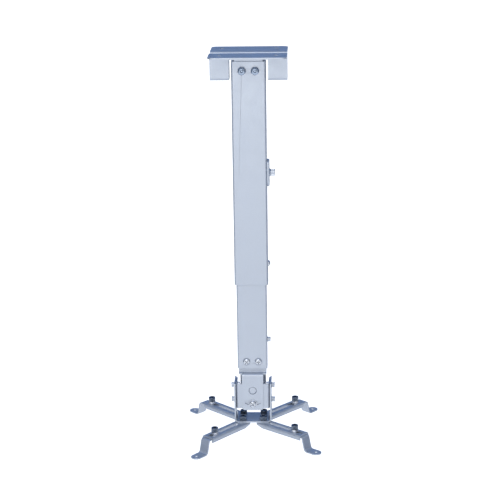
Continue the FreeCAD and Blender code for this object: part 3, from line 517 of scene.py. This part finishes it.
def washers(node, direction, kind):
    forms = []
    for matrix, radius, height in seats(node, direction):
        form = washer_form(radius, kind["shank"] + WASHER_PLAY, height)
        forms.append((form, lowered(matrix, height)))
    piece(node, forms, zinc_painted_highlight)


def lock_washers(node, direction, kind, spring_height, spring_radius):
    """A flat washer with a spring washer on it."""
    matrix, radius, height = seats(node, direction)[0]
    hole = kind["shank"] + WASHER_PLAY
    flat = washer_form(radius, hole, height - spring_height)
    spring = spring_form(spring_radius, hole, spring_height)
    piece(node, [(flat, lowered(matrix, height)), (spring, lowered(matrix, spring_height))], zinc_painted_highlight)


def rivet(node, direction):
    """The pivot: a boss flush in the front plate, and its closing head behind the roll bracket."""
    matrix, radius, length = seats(node, direction)[0]
    form = Form()
    angles = even(64)
    hollow = 0.1
    rear = ((0.7, 0), (0.9, 0.35), (0.98, 1.1), (1, 2), (0.66, 2))
    front = ((0.66, 1.65), (0.98, 1.65), (0.985, 1.1), (0.88, 0.9), (0.85, 0.2), (0.8, 0.02), (0.7, 0))
    rings = [form.ring(circle(radius * share, rise - length, angles)) for share, rise in rear]
    for share, drop in front:
        form.ring(circle(radius * share, -drop, angles))
    form.close(-hollow)
    form.last = rings[0]
    form.close(-length, upward=False)
    piece(node, [(form, matrix)], coat)


screws("top_bolts", FRONT, LARGE, "domed", height=3.8, radius=6, finish=zinc_painted_blue_reflection)
washers("top_bolt_washers", FRONT, LARGE)
nuts("top_bolt_nuts", BACK, LARGE)
screws("height_lock_bolt", RIGHT, LARGE, "cap", height=6.8, radius=5.2)
screws("column_guide_screw", RIGHT, SMALL, "cross", height=3.4, radius=4.5)
screws("stop_screw", RIGHT, SMALL, "cap", height=5, radius=3.8)
screws("neck_screws", FRONT, SMALL, "cross", height=3.2, radius=5.5, turn=0.75)
nuts("neck_nuts", BACK, SMALL)
screws("roll_lock_screw", FRONT, SMALL, "cross", height=3.2, radius=5.5, turn=0.7)
rivet("roll_pivot_rivet", FRONT)
washers("roll_lock_washer", FRONT, SMALL)
nuts("roll_lock_nut", BACK, SMALL)
screws("tilt_pivot_bolts", outward, SMALL, "cap", height=5, radius=4.1)
screws("tilt_lock_bolts", outward, SMALL, "cap", height=5, radius=4.1)
nuts("tilt_bolt_nuts", inward, SMALL)
screws("arm_pivot_bolts", UP, LARGE, "cap", height=6.8, radius=5.2, finish=zinc_painted_dark_reflection)
nuts("arm_pivot_nuts", DOWN, LARGE)
for corner in CORNERS:
    screws("foot_lock_bolt_" + corner, UP, LARGE, "cap", height=6.8, radius=5.2, finish=zinc_painted_dark_reflection)
    nuts("foot_lock_nut_" + corner, DOWN, LARGE)
    lock_washers("foot_lock_washers_" + corner, UP, LARGE, spring_height=1.7, spring_radius=5.2)


# Pale floor, far below the mount

def background_ray(tree):
    """The rays that show the white background: the camera's, and those in metal."""
    path = tree.nodes.new("ShaderNodeLightPath")
    seen = path.outputs["Is Camera Ray"]
    for other in ("Is Glossy Ray", "Is Transmission Ray"):
        larger = tree.nodes.new("ShaderNodeMath")
        larger.operation = "MAXIMUM"
        tree.links.new(seen, larger.inputs[0])
        tree.links.new(path.outputs[other], larger.inputs[1])
        seen = larger.outputs[0]
    return seen


WHITE = (1, 1, 1)
FLOOR_SIZE = 60
FLOOR_PLACE = (0, 10, -1.5)
FLOOR_GLOW = 0.95
bpy.ops.mesh.primitive_plane_add(size=FLOOR_SIZE, location=FLOOR_PLACE)
floor = bpy.context.object
floor.name = "floor"
pale_floor, tree, shader = material("pale_floor", (0.86, 0.87, 0.88), metallic=0.0, roughness=0.7)
shader.inputs["Emission Color"].default_value = (*WHITE, 1)
glow = tree.nodes.new("ShaderNodeMath")
glow.operation = "MULTIPLY"
glow.inputs[1].default_value = FLOOR_GLOW
tree.links.new(background_ray(tree), glow.inputs[0])
tree.links.new(glow.outputs[0], shader.inputs["Emission Strength"])
floor.data.materials.append(pale_floor)


# Backdrops that only light and reflections meet

def drape(name, corner, along, upward, color):
    """A pale cloth at one side of the mount, out of the camera's sight."""
    folds, fold_depth = 60, 0.03
    bpy.ops.mesh.primitive_grid_add(x_subdivisions=48, y_subdivisions=6, size=1)
    made = bpy.context.object
    made.name = name
    corner, along, upward = Vector(corner), Vector(along), Vector(upward)
    out = along.cross(upward).normalized()
    for vert in made.data.vertices:
        across, rise = vert.co.x + 0.5, vert.co.y + 0.5
        fold = out * fold_depth * math.sin(across * folds)
        vert.co = corner + along * across + upward * rise + fold
    cloth, tree, shader = material(name + "_cloth", color, metallic=0.0, roughness=0.9)
    patches = spread(tree, noise(tree, scale=3, detail=3), low=0, high=1)
    tree.links.new(varied(tree, patches, color, darkest=0.95, palest=1.05), shader.inputs["Base Color"])
    made.data.materials.append(cloth)
    made.visible_camera = False


GREY = (0.66, 0.70, 0.76)
BLUE = (0.36, 0.56, 0.92)
drape("left_drape", (-2.6, -2.3, -1.45), (0, 4.6, 0), (0, 0, 2.8), GREY)
drape("right_drape", (2.6, -2.3, -1.45), (0, 4.6, 0), (0, 0, 2.8), GREY)
drape("rear_drape", (-2.7, 3.4, -0.1), (5.4, 0, 0), (0, -3.0, 2.9), BLUE)
drape("upper_drape", (-2.7, 0.4, 2.8), (5.4, 0, 0), (0, -2.8, -0.2), BLUE)
drape("front_drape", (-2.7, -3.6, 0.15), (5.4, 0, 0), (0, -0.4, 1.1), GREY)


# Lamps and a pale studio all round

MIDDLE = Vector((0, 0, -0.3))


def area_light(name, at, size, power, color=WHITE):
    """A rectangular lamp that points at the mount's middle."""
    data = bpy.data.lights.new(name, "AREA")
    data.shape = "RECTANGLE"
    data.size, data.size_y = size
    data.energy = power
    data.color = color
    lamp = bpy.data.objects.new(name, data)
    lamp.location = at
    lamp.visible_camera = False
    lamp.rotation_euler = (MIDDLE - Vector(at)).to_track_quat("-Z", "Y").to_euler()
    scene.collection.objects.link(lamp)


area_light("front_box", (-0.5, -3.0, 0.3), size=(2.0, 1.8), power=16)
area_light("upper_box", (-0.2, -1.7, 1.5), size=(1.8, 1.3), power=14, color=(0.97, 0.98, 1.0))
ROOM_COLOR = (0.50, 0.52, 0.55)
world = bpy.data.worlds.new("studio")
world.use_nodes = True
scene.world = world
backdrop = world.node_tree.nodes["Background"]
backdrop.inputs["Strength"].default_value = 1.0
room = mixed(world.node_tree, background_ray(world.node_tree), ROOM_COLOR, WHITE)
world.node_tree.links.new(room, backdrop.inputs["Color"])


# Camera in front, a little to the right, looking down by 16 degrees

AZIMUTH, PITCH, ROLL = math.radians(2.5), math.radians(15.86), math.radians(-0.83)
DISTANCE = 2.2396
TARGET = Vector((-0.0018, 0, -0.2951))
SENSOR, LENS = 36, 108.5
forward = Vector((
    -math.sin(AZIMUTH) * math.cos(PITCH),
    math.cos(AZIMUTH) * math.cos(PITCH),
    -math.sin(PITCH),
))
right = Vector((math.cos(AZIMUTH), math.sin(AZIMUTH), 0))
above = right.cross(forward)
across = right * math.cos(ROLL) + above * math.sin(ROLL)
upward = above * math.cos(ROLL) - right * math.sin(ROLL)
turn = Matrix((across, upward, -forward)).transposed().to_4x4()
camera_data = bpy.data.cameras.new("camera")
camera_data.sensor_width = SENSOR
camera_data.lens = LENS
camera_data.clip_end = 100
camera = bpy.data.objects.new("camera", camera_data)
camera.matrix_world = Matrix.Translation(TARGET - forward * DISTANCE) @ turn
scene.collection.objects.link(camera)
scene.camera = camera
scene.view_settings.view_transform = "Standard"
